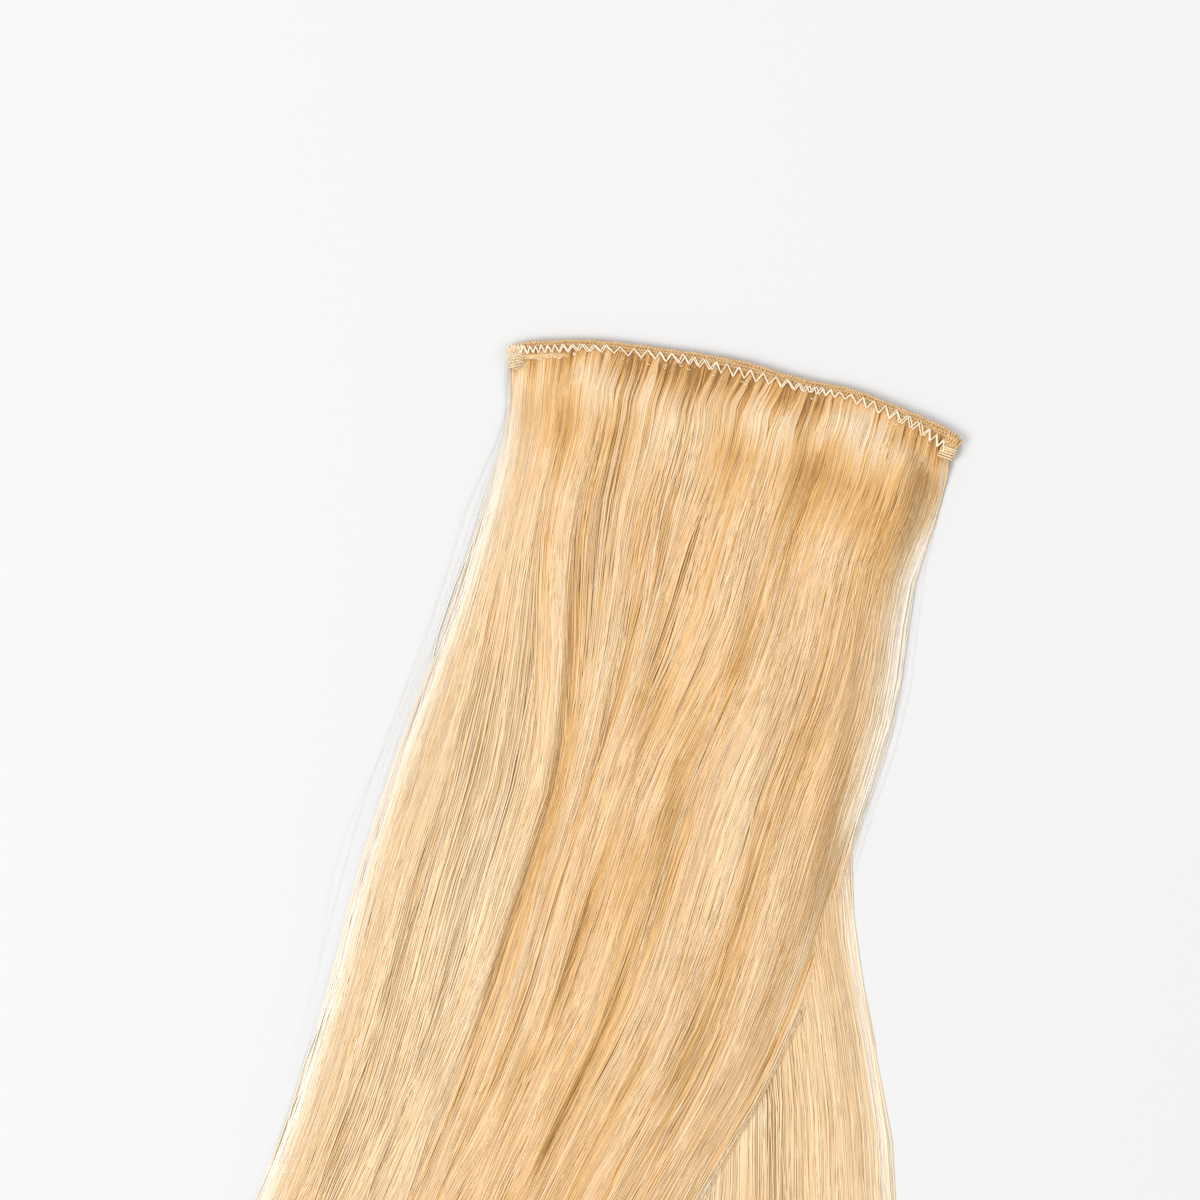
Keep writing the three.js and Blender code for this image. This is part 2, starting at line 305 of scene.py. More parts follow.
def skin_faces(skins, stations, corners):
    """Point numbers of all faces of closed skins in a row, and how many points each face has."""
    skin = np.arange(skins)[:, None, None] * stations * corners
    station = np.arange(stations - 1)[None, :, None] * corners
    corner = np.arange(corners)[None, None, :]
    following = (corner + 1) % corners
    sides = np.stack(
        [
            skin + station + corner,
            skin + station + following,
            skin + station + corners + following,
            skin + station + corners + corner,
        ],
        axis=-1,
    ).reshape(-1, 4)
    start_cap = (skin[:, 0] + np.arange(corners)[::-1]).reshape(-1, corners)
    end_cap = (skin[:, 0] + (stations - 1) * corners + np.arange(corners)).reshape(-1, corners)
    points = np.concatenate([sides.ravel(), start_cap.ravel(), end_cap.ravel()])
    sizes = np.concatenate([np.full(len(sides), 4), np.full(2 * skins, corners)])
    return points, sizes


def skin_map(skins, stations, corners, map_rows):
    """Places on the map for the points of these faces, in the same row.

    Each skin has a cell of its own, its length upright, so that fine strands bake well.
    """
    columns = math.ceil(skins / map_rows)
    cell_u = (np.arange(skins) % columns)[:, None, None]
    cell_v = (np.arange(skins) // columns)[:, None, None]
    step = SIDES_WIDE / corners
    rise = SIDES_TALL / (stations - 1)
    across = np.arange(corners)[None, None, :] * SIDES_WIDE / corners
    up = np.arange(stations - 1)[None, :, None] * SIDES_TALL / (stations - 1)
    side_u = np.stack([cell_u + across + 0 * up + d for d in (0, step, step, 0)], axis=-1)
    side_v = np.stack([cell_v + up + 0 * across + d for d in (0, 0, rise, rise)], axis=-1)
    turn = np.arange(corners) * 2 * math.pi / corners
    cap_u = cell_u[:, 0] + CAPS_MIDDLE + 0.04 * np.cos(turn)
    cap_v = cell_v[:, 0] + CAPS_MIDDLE + 0.02 * np.sin(turn)
    u = np.concatenate([side_u.ravel(), cap_u[:, ::-1].ravel(), cap_u.ravel()]) / columns
    v = np.concatenate([side_v.ravel(), cap_v[:, ::-1].ravel(), (cap_v - 0.06).ravel()]) / map_rows
    return np.stack([u, v], axis=-1)


def add_object(name, data):
    """A new object in the scene."""
    made = bpy.data.objects.new(name, data)
    bpy.context.scene.collection.objects.link(made)
    return made


def skin_mesh(name, rings, material, tint=None, flow=None, map_rows=1):
    """One mesh of closed skins. rings holds [skin, station, corner, xyz] in millimetres.

    tint is a tone for each skin, station and corner, and flow a place across and down the hair.
    """
    skins, stations, corners, _ = rings.shape
    points, sizes = skin_faces(skins, stations, corners)
    mesh = bpy.data.meshes.new(name)
    mesh.vertices.add(skins * stations * corners)
    mesh.vertices.foreach_set("co", (rings * MM).astype(np.float32).ravel())
    mesh.loops.add(len(points))
    mesh.loops.foreach_set("vertex_index", points.astype(np.int32))
    mesh.polygons.add(len(sizes))
    mesh.polygons.foreach_set("loop_start", (np.cumsum(sizes) - sizes).astype(np.int32))
    mesh.polygons.foreach_set("use_smooth", np.ones(len(sizes), bool))
    uv_map = mesh.uv_layers.new(name="OFBake")
    places = skin_map(skins, stations, corners, map_rows)
    uv_map.data.foreach_set("uv", places.astype(np.float32).ravel())

    if tint is not None:
        spread = np.broadcast_to(tint, (skins, stations, corners))
        attribute = mesh.attributes.new("tint", "FLOAT", "POINT")
        attribute.data.foreach_set("value", spread.astype(np.float32).ravel())
    if flow is not None:
        attribute = mesh.attributes.new("flow", "FLOAT_VECTOR", "POINT")
        attribute.data.foreach_set("vector", (flow * MM).astype(np.float32).ravel())
    mesh.update()
    mesh.validate()
    mesh.materials.append(material)
    return add_object(name, mesh)


def tube_rings(paths, radius, corners, flatness=1.0):
    """Rings along paths [path, station, xyz], with half a width for each path and station."""
    ahead = np.gradient(paths, axis=1)
    ahead /= np.linalg.norm(ahead, axis=-1, keepdims=True)
    side = np.cross(ahead[:, 0], [0.0, 0.0, 1.0])
    side += np.where(np.linalg.norm(side, axis=-1, keepdims=True) < 1e-3, [1.0, 0.0, 0.0], 0.0)
    sides = []
    for station in range(paths.shape[1]):
        side = side - ahead[:, station] * np.sum(side * ahead[:, station], axis=-1, keepdims=True)
        side = side / np.linalg.norm(side, axis=-1, keepdims=True)
        sides.append(side)
    sides = np.stack(sides, axis=1)
    ups = np.cross(sides, ahead)
    turn = np.arange(corners) * 2 * math.pi / corners
    spokes = sides[:, :, None] * np.sin(turn)[:, None] + flatness * ups[:, :, None] * np.cos(turn)[:, None]
    return paths[:, :, None] + spokes * np.broadcast_to(radius, paths.shape[:2])[:, :, None, None]


def wander(count, run, wavelength, height):
    """A slow random sway down the hair, one row for each strand or wisp, none at the root."""
    sway = np.zeros((count, run.shape[-1]))
    for share in (1.0, 0.55):
        length = rng.uniform(*wavelength, (count, 1)) * share
        phase = rng.uniform(0, 2 * math.pi, (count, 1))
        sway += share * np.sin(2 * math.pi * run / length + phase)
    return sway * rng.normal(0, height, (count, 1)) * smooth(6, 80, run)


def drifted(root, run):
    """Share of the upper layer's width where hair from a root share lies, down the hair."""
    below = np.interp(root, FLOW["root"], FLOW["below"])
    return root + (below - root) * smooth(DRIFT_START, DRIFT_END, run)


def edge_share(sections, x, run):
    """How far in from the nearer edge of a layer places are, 1 where it is no longer thinned out."""
    left = curve(sections, "left", run)
    right = curve(sections, "right", run)
    return np.clip(np.minimum(x - left, right - x) / EDGE_REACH, 0, 1)


def valley_depth(x, run):
    """How deep the main valleys are at places on the upper layer, as a share of its thickness."""
    left = curve(UPPER_SECTIONS, "left", run)
    width = curve(UPPER_SECTIONS, "right", run) - left
    hollow = np.zeros(np.broadcast(x, run).shape)
    for root, depth, left_slope, right_slope, deepest, length in zip(*VALLEYS.values()):
        line = left + width * drifted(root, run)
        along = np.exp(-(((run - deepest) / length) ** 2))
        reach = np.where(x < line, left_slope, right_slope)
        hollow = np.maximum(hollow, depth * along * np.exp(-(((x - line) / reach) ** 2)))
    return hollow


def waves(x, run):
    """Soft waves of the upper layer's surface, in millimetres."""
    height = 0.0
    for width, length, phase, rise in WAVES:
        height = height + rise * np.sin(2 * math.pi * (x / width + run / length) + phase)
    return height * smooth(10, 55, run) * (1 - 0.6 * smooth(260, 400, run))


def swell(x, run):
    """Swells and dips of the upper layer, 1 for a full swell."""
    height = 0.0
    for middle, down, half, length, rise in SWELLS:
        height = height + rise * np.exp(-(((x - middle) / half) ** 2) - ((run - down) / length) ** 2)
    return height


def lower_top(x, run):
    """Height of the lower layer's outer surface."""
    return curve(LOWER_SECTIONS, "rise", run) * smooth(-0.1, 0.8, edge_share(LOWER_SECTIONS, x, run))


def upper_top(x, run):
    """Height of the upper layer's outer surface, with its valleys, waves and the hump at the root."""
    base = curve(UPPER_SECTIONS, "base", run)
    top = base + curve(UPPER_SECTIONS, "rise", run) * (1 - valley_depth(x, run))
    top = top + waves(x, run) + SWELL_HEIGHT * swell(x, run)
    low = lower_top(x, run) + LAYER_GAP
    top = low + (top - low) * smooth(-0.1, 0.9, edge_share(UPPER_SECTIONS, x, run))
    return ROOT_HEIGHT + (top - ROOT_HEIGHT) * smooth(0.5, curve(ROOTS, "crest", x), run)


def stay_between(share):
    """Shares of a width, with those past either edge turned back inside."""
    return 1 - np.abs(1 - np.abs(share))


def straight_down(root, run):
    """As drifted, for the lower layer, whose hair keeps its share of the width."""
    return root + 0 * run


def strand_radius(station, size):
    """Half the width of strands, which narrow towards their tips."""
    return size * (1 - 0.7 * smooth(0.72, 1.0, station))


def plan_strands(locks, count, near, over_band):
    """A layer's strands from left to right, one in each row.

    share is where a strand starts across the layer, and run where its stations are down the hair.
    Strands lie in wisps, and wisps in locklets, which sway together.
    """
    wisp_count = count // STRANDS_PER_WISP
    wisp_share = np.sort(rng.uniform(0.004, 0.996, wisp_count))
    wisp = rng.integers(0, wisp_count, count)
    if over_band:
        # Nearly an even cover below the drift, where the strands are furthest apart
        even_below = np.interp(wisp_share, FLOW["below"], FLOW["root"])
        wisp_share = 0.12 * wisp_share + 0.88 * even_below
    else:
        wisp_share = 1 - (1 - wisp_share) ** 1.5  # most of the strands where the layer shows
    share = stay_between(wisp_share[wisp] + rng.normal(0, 0.025, count))
    at_edge = rng.uniform(size=count) < EDGE_STRANDS
    from_edge = rng.uniform(0, 0.05, count)
    share = np.where(at_edge, np.where(share > 0.5, 1 - from_edge, from_edge), share)
    order = np.argsort(share)
    share, wisp, at_edge = share[order], wisp[order], at_edge[order]

    lock = (share * len(locks) * 0.999).astype(int)
    length = HAIR_LENGTH * np.array(locks)[lock] * (1 - np.abs(rng.normal(0, 0.035, count)))
    to_tip = near[-1] + (length[:, None] - near[-1]) * TIP_STATIONS
    return SimpleNamespace(
        share=share[:, None],
        at_edge=at_edge[:, None],
        wisp=wisp,
        wisp_share=wisp_share,
        locklet=np.arange(wisp_count) // WISPS_PER_LOCKLET,
        lock_share=((lock + 0.5) / len(locks))[:, None],
        length=length[:, None],
        run=np.concatenate([np.tile(near, (count, 1)), to_tip], axis=1),
    )


def wisp_sway(locklet, near):
    """How far each wisp sways from its line, with its locklet and by itself."""
    run = np.concatenate([near, near[-1] + (HAIR_LENGTH - near[-1]) * TIP_STATIONS])
    together = wander(locklet[-1] + 1, run, (180, 400), 0.8)[locklet]
    return together + wander(len(locklet), run, (160, 320), 0.55)


def lay_across(strands, sections, near, place):
    """Where the strands lie across the hair, how far their wisp holds them, and their place in it.

    On the way down a strand is drawn to the line of its wisp, and at its tip to that of its lock.
    """
    run = strands.run
    count = len(run)
    grip = rng.uniform(0.1, 0.7, len(strands.wisp_share))[strands.wisp][:, None]
    hold = smooth(8, 90, run) * grip * ~strands.at_edge
    wisp_line = place(strands.wisp_share[strands.wisp][:, None], run)
    share = place(strands.share, run) * (1 - hold) + wisp_line * hold
    in_wisp = rng.normal(0, 1, (count, 1))
    drawn = 1 - 0.8 * np.clip(np.abs(in_wisp) / 1.6, 0, 1)
    gather = (1 - TIP_SIZE) * drawn * smooth(TAPER_START, 1, run / strands.length)
    share = share + (place(strands.lock_share, run) - share) * gather

    from_edge = np.minimum(strands.share, 1 - strands.share)
    sway = wisp_sway(strands.locklet, near)[strands.wisp] * smooth(-0.01, 0.08, from_edge)
    left = curve(sections, "left", run)
    x = left + (curve(sections, "right", run) - left) * share
    x = x + WISP_SPREAD * in_wisp * hold + sway + wander(count, run, (80, 200), 0.55)
    x = x + rng.normal(0, 1.6, (count, 1)) * (run / HAIR_LENGTH) ** 2
    past_edge = PAST_EDGE * rng.uniform(size=(count, 1)) ** 3 * smooth(10, 60, run)
    x = x + past_edge * (smooth(0.95, 1, share) - smooth(0.95, 1, 1 - share))
    return x, hold, in_wisp


def tufts_at_seam(root_x):
    """The tuft of each strand, its middle, the strand's place in it from -1 to 1, and its pull."""
    edges = np.cumsum(TUFT_SPACING * rng.uniform(0.5, 1.6, TUFT_COUNT)) + TUFTS_FROM
    tuft = np.searchsorted(edges, root_x)
    middle = (edges[tuft - 1] + edges[tuft]) / 2
    off_middle = (root_x - middle) / (edges[tuft] - edges[tuft - 1]) * 2
    pull = curve(ROOTS, "pull", middle) * rng.uniform(0.2, 1.7, TUFT_COUNT)[tuft]
    pull = pull * rng.uniform(0.6, 1.2, root_x.shape)
    return tuft, middle, off_middle, pull


def upper_tint(tint, x, run, root_share, rim):
    """Tints of the upper layer, with painted highlight on its swells and lit slopes and painted shade in
    its valleys.
    """
    # Painted highlight on the swells and wave crests, painted shade in the dips and valleys
    tint = tint + 0.5 * swell(x, run) + 0.04 * waves(x, run) - 1.05 * valley_depth(x, run)
    # Painted light on slopes that face the left lamp, painted shade on those that face away
    tint = tint + 0.2 * np.clip(upper_top(x + 0.5, run) - upper_top(x - 0.5, run), -0.8, 0.8)
    # Painted light over the left part, which the left lamp lights most
    tint = tint + 0.13 * smooth(0.4, 0.1, root_share) * smooth(20, 60, run)
    # Painted shade along the right edge further down the hair
    to_right = curve(UPPER_SECTIONS, "right", run) - x
    tint = tint - 0.04 * smooth(18, 5, to_right) * smooth(110, 150, run)
    # The middle tones lie close together
    outside = 0.5 * np.maximum(tint - 0.7, 0) - 0.3 * np.maximum(0.3 - tint, 0)
    tint = tint - outside * smooth(20, 50, run)
    # Painted light at the thin rims, which light comes through
    return tint + rim * np.where(x > 0, 0.6 * (1 - smooth(120, 150, run)), 0.36)


def root_tint(tint, x, run, tuft, off_middle, pull):
    """Tints near the seam, where each tuft has a tone of its own, with painted shade at the roots and
    between the tufts.
    """
    tint = tint + rng.normal(0, 0.11, TUFT_COUNT)[tuft] * (1 - smooth(4, 25, run))
    # Painted shade on the roots just below the seam
    tint = tint - curve(ROOTS, "shade", x) * (1 - smooth(1.5, 15, run))
    # Painted shade between the tufts
    between = smooth(0.5, 1.0, np.abs(off_middle)) * np.minimum(pull / 0.3, 1)
    tint = tint - 0.4 * between * (1 - smooth(5, 13, run))
    # Near the root the tints spread further apart, so the tufts' own tones and the painted shade show more
    return tint + 0.35 * (tint - 0.5) * (1 - smooth(15, 45, run))


def lower_tint(tint, x, run, rim):
    """Tints of the lower layer: pale and even, but for painted light at its rim and painted shade and light
    beside the upper layer.
    """
    # Painted light at the thin rim
    tint = 0.72 + 0.4 * (tint - 0.5) + 0.1 * rim
    # Painted shade beside the upper layer's edge near the seam, painted light there further down
    beside = x - curve(UPPER_SECTIONS, "right", run)
    return tint + smooth(14, 2, beside) * (0.4 * smooth(180, 230, run) - 0.15)


def strand_rings(sections, locks, count, near, over_band):
    """Rings of a layer's strands from left to right, and their tints."""
    strands = plan_strands(locks, count, near, over_band)
    run, wisp, locklet = strands.run, strands.wisp, strands.locklet
    x, hold, in_wisp = lay_across(strands, sections, near, drifted if over_band else straight_down)
    root_x = x[:, :1]
    lean = curve(ROOTS, "lean", root_x) if over_band else 0.0
    y = arc_y(root_x + lean) - run

    thin = rng.uniform(size=count) < THIN_SHARE
    size = np.where(thin, rng.uniform(*THIN_RADIUS, count), rng.uniform(*THICK_RADIUS, count))
    # Some thick strands are darker and lie deeper: darker hair, and also painted shade for the slits
    # between strands
    dark = ~thin & (rng.uniform(size=count) < DARK_SHARE)
    lift = rng.normal(0, 0.09, locklet[-1] + 1)[locklet] + rng.normal(0, 0.06, len(locklet))
    depth = np.abs(rng.normal(0, 0.08, count)) + FLATNESS * size + 0.06 * dark - 0.06 * thin
    rounded = 0.15 * hold * (1 - np.clip(in_wisp / 1.8, -1, 1) ** 2)
    z = lift[wisp][:, None] * smooth(12, 60, run) + rounded - depth[:, None]
    z = z + wander(count, run, (80, 200), 0.07)

    # Painted shade: deep strands are warmer and darker, and those on top paler
    tint = rng.normal(0.5, 0.11, count) - 0.22 * dark + 0.05 * thin
    tint += (rng.normal(0, 0.06, len(locklet)) + rng.normal(0, 0.04, locklet[-1] + 1)[locklet])[wisp]
    tint = tint[:, None] + rng.normal(0, 0.06, run.shape) + 0.7 * (z + 0.15)
    if over_band:
        tuft, middle, off_middle, pull = tufts_at_seam(root_x)
        loose_from = rng.uniform(4, 11, TUFT_COUNT)[tuft]
        x = x + (middle - root_x) * pull * (1 - smooth(2, loose_from, run))
        upright_from = rng.uniform(13, 21, TUFT_COUNT)[tuft]
        x = x + lean * (1 - smooth(0, upright_from, run)) * rng.uniform(0.85, 1.05, TUFT_COUNT)[tuft]
        domed = pull * (1.4 * np.sqrt(1 - off_middle**2) - 0.6)
        z = z + domed * (1 - smooth(4, 16, run)) * smooth(-1, 4, run)
        rim = (1 - edge_share(UPPER_SECTIONS, x, run)) ** np.where(x > 0, 3.2, 5)
        rim = rim * np.where(x > 0, smooth(10, 40, run), smooth(3, 10, run))
        z = z * (1 - 0.6 * rim) + upper_top(x, run)
        tint = upper_tint(tint, x, run, strands.share, rim)
        tint = root_tint(tint, x, run, tuft, off_middle, pull)
    else:
        rim = (1 - edge_share(LOWER_SECTIONS, x, run)) ** 6
        z = z + lower_top(x, run)
        tint = lower_tint(tint, x, run, rim)
    # The thin tips let more light through
    tips = smooth(BODY_LENGTH - 30, BODY_LENGTH + 25, run)
    tint = tint + 0.16 * tips
    # Painted shade: light sinks in between the strands, so they are painted warmer and darker at the sides
    # and underneath
    sunk = (0.44 + 0.5 * np.maximum(tint - 0.5, 0)) * (1 - rim) * (1 - 0.75 * tips)
    tint = tint[:, :, None] * (1 - SIDE_SHADE * sunk[:, :, None])
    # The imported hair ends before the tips, whose strands spread down to the table instead
    fall = rng.uniform(0, 0.9, (count, 1)) * smooth(BODY_LENGTH - 40, BODY_LENGTH + 15, run)
    paths = np.stack([x, y, np.maximum(z * (1 - fall), TABLE_GAP)], axis=-1)
    radius = strand_radius(run / strands.length, size[:, None]) * (1 - 0.15 * rim)
    return tube_rings(paths, radius, 4, FLATNESS), np.clip(tint, 0, 1)


def to_linear(hex_colour):
    """An sRGB colour such as "e8c48d" as linear red, green, blue and alpha."""
    parts = [int(hex_colour[i : i + 2], 16) / 255 for i in (0, 2, 4)]
    return [c / 12.92 if c <= 0.04045 else ((c + 0.055) / 1.055) ** 2.4 for c in parts] + [1.0]


def node(tree, kind, inputs=None, stops=None, **settings):
    """Adds a node, with its settings, its inputs as values or other nodes' sockets, and ramp stops."""
    made = tree.nodes.new(kind)
    for name, value in settings.items():
        setattr(made, name, value)
    for name, value in (inputs or {}).items():
        if isinstance(value, bpy.types.NodeSocket):
            tree.links.new(value, made.inputs[name])
        else:
            made.inputs[name].default_value = value
    if stops:
        ramp = made.color_ramp
        while len(ramp.elements) < len(stops):
            ramp.elements.new(0.5)
        for element, (position, colour) in zip(ramp.elements, stops):
            element.position = position
            element.color = to_linear(colour)
    return made


def material(name):
    """A new material without nodes, and its tree."""
    made = bpy.data.materials.new(name)
    made.use_nodes = True
    made.node_tree.nodes.clear()
    return made, made.node_tree


def finish_material(tree, inputs):
    """Ends a tree with its shader and output."""
    shader = node(tree, "ShaderNodeBsdfPrincipled", inputs)
    node(tree, "ShaderNodeOutputMaterial", {"Surface": shader.outputs["BSDF"]})


def hair_material():
    """Bleached human hair, combed straight: pale honey strands of many tones with a satin gloss."""
    made, tree = material("bleached_human_hair")
    tint = node(tree, "ShaderNodeAttribute", attribute_name="tint")
    tone = node(
        tree,
        "ShaderNodeValToRGB",
        {"Fac": tint.outputs["Fac"]},
        [
            (0.0, "a4794a"),
            (0.1, "c29257"),
            (0.2, "d2a160"),
            (0.35, "deb075"),
            (0.56, "e4c093"),
            (0.85, "efd8b5"),
            (1.0, "f7ebdb"),
        ],
    )
    # Light scatters from strand to strand, so that each is shaded more like the layer than on its own
    own = node(tree, "ShaderNodeNewGeometry")
    halfway = node(
        tree,
        "ShaderNodeVectorMath",
        {0: own.outputs["Normal"], 1: (0.35, 0.35, 0.35), 2: (0.0, 0.0, 0.65)},
        operation="MULTIPLY_ADD",
    )
    facing = node(tree, "ShaderNodeVectorMath", {0: halfway.outputs["Vector"]}, operation="NORMALIZE")
    gloss = node(
        tree, "ShaderNodeMapRange", {"Value": tint.outputs["Fac"], "To Min": 0.55, "To Max": 0.4}
    )
    finish_material(
        tree,
        {
            "Base Color": tone.outputs["Color"],
            "Roughness": gloss.outputs["Result"],
            "IOR": 1.55,
            "Specular IOR Level": 0.13,
            "Normal": facing.outputs["Vector"],
        },
    )
    return made


def packed_hair_material():
    """The same hair packed under the top strands, painted darker for the shade between them, where it shows
    as fine lines.
    """
    made, tree = material("bleached_human_hair_packed")
    place = node(tree, "ShaderNodeAttribute", attribute_name="flow")
    shade = node(tree, "ShaderNodeAttribute", attribute_name="tint")
    # Lines down the hair, some 50 mm long. Single hairs of 0.07 mm would be too fine to show, so the
    # lines are 0.3 mm wide.
    stretch = node(
        tree,
        "ShaderNodeMapping",
        {"Vector": place.outputs["Vector"], "Scale": (1 / (0.3 * MM), 1 / (50 * MM), 1.0)},
    )
    lines = node(
        tree,
        "ShaderNodeTexNoise",
        {"Vector": stretch.outputs["Vector"], "Scale": 1.0, "Detail": 3.0, "Roughness": 0.6},
    )
    shaded = node(
        tree, "ShaderNodeMath", {0: lines.outputs["Fac"], 1: shade.outputs["Fac"]}, operation="ADD"
    )
    tone = node(
        tree,
        "ShaderNodeValToRGB",
        {"Fac": shaded.outputs["Value"]},
        [(0.2, "a0703a"), (0.42, "c08c50"), (0.52, "cfa168"), (0.64, "dab584"), (0.95, "f5ead6")],
    )
    relief = node(
        tree,
        "ShaderNodeBump",
        {"Height": lines.outputs["Fac"], "Strength": 0.3, "Distance": 0.2 * MM},
    )
    finish_material(
        tree,
        {
            "Base Color": tone.outputs["Color"],
            "Roughness": 0.55,
            "IOR": 1.55,
            "Specular IOR Level": 0.2,
            "Normal": relief.outputs["Normal"],
        },
    )
    return made


def thread_material(name, dark, middle, pale, roughness):
    """Spun thread: matt fibres whose tone changes in short flecks along the yarn."""
    made, tree = material(name)
    place = node(tree, "ShaderNodeTexCoord")
    # Flecks 0.4 mm across: single fibres of 0.02 mm would be too fine to show
    flecks = node(
        tree,
        "ShaderNodeTexNoise",
        {"Vector": place.outputs["Object"], "Scale": 1 / (0.4 * MM), "Detail": 3.0, "Roughness": 0.65},
    )
    tone = node(
        tree,
        "ShaderNodeValToRGB",
        {"Fac": flecks.outputs["Fac"]},
        [(0.3, dark), (0.5, middle), (0.72, pale)],
    )
    relief = node(
        tree,
        "ShaderNodeBump",
        {"Height": flecks.outputs["Fac"], "Strength": 0.5, "Distance": 0.1 * MM},
    )
    finish_material(
        tree,
        {
            "Base Color": tone.outputs["Color"],
            "Roughness": roughness,
            "IOR": 1.5,
            "Sheen Weight": 0.25,
            "Normal": relief.outputs["Normal"],
        },
    )
    return made


def table_material():
    """Melamine laminate, pressed matt: an even white ground with soft shadows and no mirror."""
    made, tree = material("matt_white_laminate")
    finish_material(tree, {"Base Color": to_linear("d2d2d2"), "Roughness": 0.7, "IOR": 1.45})
    return made


def photo_camera():
    """Camera straight above, turned as the photograph is."""
    camera = add_object("camera", bpy.data.cameras.new("camera"))
    camera.location = (*PICTURE_CENTRE * MM, CAMERA_HEIGHT * MM)
    camera.rotation_euler = (0, 0, PICTURE_TURN)
    camera.data.sensor_width = SENSOR_WIDTH
    camera.data.lens = SENSOR_WIDTH * CAMERA_HEIGHT / PICTURE_WIDTH
    bpy.context.scene.camera = camera


def soft_light():
    """Soft light, mostly from the picture's left, in a white room."""
    right = np.array([math.cos(PICTURE_TURN), math.sin(PICTURE_TURN), 0])
    top = np.array([-math.sin(PICTURE_TURN), math.cos(PICTURE_TURN), 0])
    middle = Vector((*PICTURE_CENTRE * MM, 0))
    for name, ((to_right, to_top, up), width, power) in LAMPS.items():
        lamp = add_object(name, bpy.data.lights.new(name, "AREA"))
        lamp.data.size = width
        lamp.data.energy = power
        lamp.location = middle + Vector(right * to_right + top * to_top + np.array([0, 0, up]))
        lamp.rotation_euler = (middle - lamp.location).to_track_quat("-Z", "Y").to_euler()
        lamp.visible_glossy = name != "fill_right"

    world = bpy.data.worlds.new("soft_room")
    world.use_nodes = True
    background = world.node_tree.nodes["Background"]
    background.inputs["Color"].default_value = to_linear("ffffff")
    background.inputs["Strength"].default_value = ROOM_LIGHT
    bpy.context.scene.world = world
    bpy.context.scene.view_settings.view_transform = "Standard"


def white_table():
    """The table that the weft lies on."""
    half = TABLE_HALF_WIDTH
    corners = [(-half, -half, 0), (half, -half, 0), (half, half, 0), (-half, half, 0)]
    mesh = bpy.data.meshes.new("table")
    mesh.from_pydata(corners, [], [(0, 1, 2, 3)])
    mesh.materials.append(table_material())
    table = add_object("table", mesh)


def wear(piece, slot, *nodes):
    """Puts a piece on the weft: it rides with it and stands for solids; its slot is not used."""
    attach(piece, "root")
    if nodes:
        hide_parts(*nodes)


def body_columns():
    """Shares of the width for the columns round a hair body, top and underside, and which are above.

    Columns close to the edges keep their rounding narrow. Near them the underside has as many
    columns as the top, so that it stays below it where the hair thins out.
    """
    across = np.concatenate([[0.0, 0.001], np.linspace(0.007, 0.993, 146), [0.999, 1.0]])
    number = np.arange(len(across) - 2)
    near_edge = np.minimum(number, number[::-1]) < EDGE_COLUMNS
    underside = across[1:-1][::-1][near_edge | (number % UNDERSIDE_STEP == 0)]
    share = np.concatenate([across, underside])[None, :]
    return share, np.arange(share.shape[1])[None, :] < len(across)


def hair_body(name, sections, top_at, rows, base, packed, node_name):
    """Packed hair of a layer, just under its outer strands, as one closed form."""
    run = rows[:, None]
    inset = BODY_INSET - (BODY_INSET + THIN_EDGE) * smooth(10, 50, run)
    left = curve(sections, "left", run) + inset
    width = curve(sections, "right", run) - inset - left
    share, above = body_columns()
    x = left + width * share
    y = arc_y(x[:1]) - run
    depth = BODY_DEPTH - 0.25 * (1 - smooth(3, 12, run))
    thinning = 1 - 0.85 * smooth(BODY_LENGTH - 40, BODY_LENGTH, run)
    top = np.maximum((top_at(x, run) - depth) * thinning, THIN_TOP)
    z = np.where(above, top, np.minimum(base, top - THIN_BODY))
    # The underside's lines lie apart from the top's, in another layer of the pattern
    flow = np.stack(np.broadcast_arrays(BODY_WIDTH * share, run, 40.0 * above), axis=-1)
    # Painted shade near the seam, painted light at the thin edges, and paler further down
    shade = -0.35 * (1 - smooth(2, 12, run)) + 0.5 * (1 - edge_share(sections, x, run)) ** 4
    shade = shade + 0.15 * smooth(240, 300, run)
    if top_at is lower_top:
        shade = shade + 0.1
    else:
        # Painted highlight on the swells and painted shade in the valleys
        shade = shade + 0.15 * swell(x, run) - 0.5 * valley_depth(x, run)
        # Painted shade on the left, where the packed hair shows between the strands
        shade = shade - 0.08 * smooth(0.35, 0.1, share) * smooth(20, 60, run)
    # The columns run from right to left, so that the faces look outwards
    rings = np.stack([x, y, z], axis=-1)[None, :, ::-1]
    body = skin_mesh(name, rings, packed, shade[None, :, ::-1], flow[None, :, ::-1])
    wear(body, "hair", node_name)


